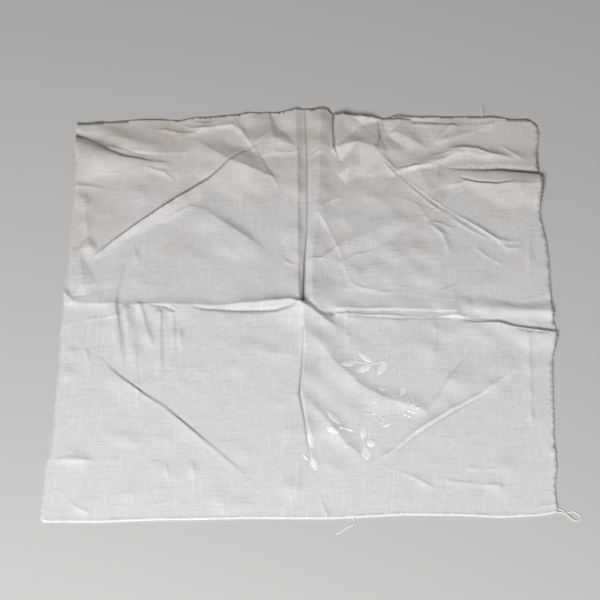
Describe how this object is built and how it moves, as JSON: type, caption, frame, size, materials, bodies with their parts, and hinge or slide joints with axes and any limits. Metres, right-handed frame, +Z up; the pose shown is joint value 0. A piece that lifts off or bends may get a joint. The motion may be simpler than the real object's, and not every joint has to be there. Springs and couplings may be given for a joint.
{
  "type": "linen handkerchief",
  "caption": "Square linen handkerchief lying opened out, with raised storage creases, soft folds and a narrow hem; it rests flat on a surface.",
  "frame": {"origin": "on the surface that the cloth lies on, at the middle of the cloth's box", "axes": "+Z up from the surface, +X to the right and +Y away from the viewer"},
  "size_m": [0.3064, 0.3144, 0.0106],
  "materials": {
    "linen": "off-white plain-woven linen, slubbed and matt"
  },
  "bodies": {
    "root": {"handkerchief": "linen"}
  },
  "joints": []
}
